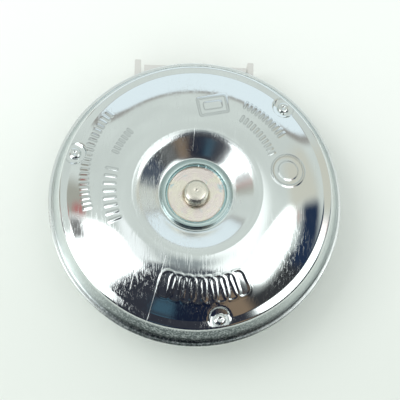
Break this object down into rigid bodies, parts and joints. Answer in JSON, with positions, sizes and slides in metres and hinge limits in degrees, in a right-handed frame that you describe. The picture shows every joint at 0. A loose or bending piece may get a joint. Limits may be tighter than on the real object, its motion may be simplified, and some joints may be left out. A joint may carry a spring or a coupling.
{
  "type": "car horn",
  "caption": "Electric disc horn for a car: bright domed steel shell with a threaded mounting stud in its dished hub, crimped rim, slotted front and a terminal socket.",
  "frame": {"origin": "centre of the front cover's flat face, which the horn lies on", "axes": "+Z along the mounting stud, out of the horn's back; +Y from the axis towards the terminal socket; +X to the right seen from the back"},
  "size_m": [0.098, 0.1002, 0.0297],
  "materials": {
    "bright_zinc": "mirror-bright zinc plating with fine handling scratches, streaky on the skirt",
    "cover_zinc": "satin zinc plating",
    "passivated_steel": "turned face, pale yellow iridescent passivation",
    "rivet_steel": "bright zinc plating",
    "inner_steel": "plain zinc-plated strip steel",
    "spring_steel": "blue-grey spring steel",
    "copper_wire": "enamelled copper",
    "contact_silver": "silver alloy button",
    "tab_brass": "tinned brass",
    "natural_nylon": "natural off-white nylon, satin",
    "bobbin_nylon": "natural nylon",
    "brown_laminate": "paper-phenolic laminate",
    "white_ceramic": "matt ceramic",
    "black_rubber": "rubberised gasket"
  },
  "bodies": {
    "root": {"rear_shell": "bright_zinc", "core_stud": "passivated_steel", "shell_rivets": "rivet_steel", "carrier_plate": "inner_steel", "bobbin": "bobbin_nylon", "coil": "copper_wire", "breaker_upper_insulator": "brown_laminate", "fixed_contact_strip": "inner_steel", "breaker_lower_insulator": "brown_laminate", "breaker_spring": "spring_steel", "breaker_clamp": "inner_steel", "breaker_rivets": "rivet_steel", "fixed_contact": "contact_silver", "moving_contact": "contact_silver", "spark_resistor": "white_ceramic", "resistor_leads": "copper_wire", "coil_supply_lead": "copper_wire", "breaker_supply_lead": "copper_wire", "coil_breaker_lead": "copper_wire", "rear_gasket": "black_rubber", "diaphragm": "spring_steel", "front_gasket": "black_rubber", "armature": "inner_steel", "diaphragm_washer": "inner_steel", "resonator_spacer": "inner_steel", "resonator_disc": "spring_steel", "resonator_nut": "rivet_steel", "front_cover": "cover_zinc", "terminal_block": "natural_nylon", "left_terminal": "tab_brass", "right_terminal": "tab_brass", "terminal_rivets": "rivet_steel", "spacer_washers": "brown_laminate", "insulating_washers": "brown_laminate"}
  },
  "joints": []
}
